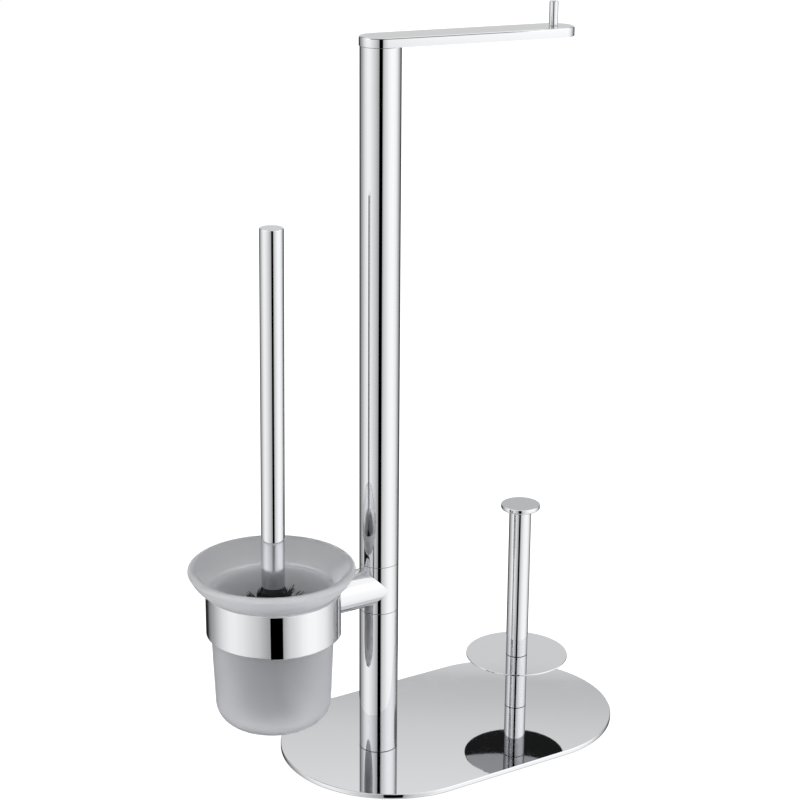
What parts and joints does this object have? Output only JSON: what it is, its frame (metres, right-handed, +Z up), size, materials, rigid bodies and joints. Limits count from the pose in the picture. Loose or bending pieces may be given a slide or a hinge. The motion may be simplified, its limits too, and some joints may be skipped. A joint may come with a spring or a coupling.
{
  "type": "toilet paper stand",
  "caption": "Chrome floor stand with an obround base, a column with a flat toilet roll arm, a glass brush holder on a ring with its brush, and a short spare roll post with a disc.",
  "frame": {"origin": "On the floor under the middle of the base plate, at the mount base_rest.", "axes": "+X runs along the base plate from the column to the spare roll post, +Z points up, +Y points away from the viewer of the picture."},
  "size_m": [0.3627, 0.1748, 0.5786],
  "materials": {
    "chrome": "polished chrome plate over steel",
    "zinc_steel": "zinc plated steel, hidden inside",
    "frosted_glass": "acid etched outside, satin",
    "nylon": "moulded, black",
    "bristle_nylon": "black bristle filament",
    "pad_rubber": "matt foam sheet"
  },
  "bodies": {
    "stand": {"base_plate": "chrome", "base_pad": "pad_rubber", "column_screw": "zinc_steel", "post_screw": "zinc_steel", "column_foot_insert": "zinc_steel", "lower_column": "chrome", "lower_joiner": "zinc_steel", "joiner_stud": "zinc_steel", "holder_tee": "chrome", "upper_joiner": "zinc_steel", "upper_column": "chrome", "column_top_insert": "zinc_steel", "arm_stud": "zinc_steel", "roll_arm": "chrome", "stop_pin": "chrome", "side_arm_insert": "zinc_steel", "holder_saddle": "chrome", "holder_ring": "chrome", "ring_screw": "zinc_steel", "lower_post": "chrome", "upper_post": "chrome", "post_foot_insert": "zinc_steel", "lower_post_insert": "zinc_steel", "upper_post_insert": "zinc_steel", "post_rod": "zinc_steel", "roll_disc": "chrome", "post_cap": "chrome"},
    "cup": {"glass_cup": "frosted_glass"},
    "brush": {"brush_handle": "chrome", "handle_insert": "nylon", "brush_core": "nylon", "bristle_head": "bristle_nylon"}
  },
  "joints": [
    {"name": "cup_lift", "type": "slide", "parent": "stand", "child": "cup", "axis": [0, 0, 1], "range_m": [0, 0.12]},
    {"name": "brush_lift", "type": "slide", "parent": "cup", "child": "brush", "axis": [0, 0, 1], "range_m": [0, 0.13]}
  ]
}
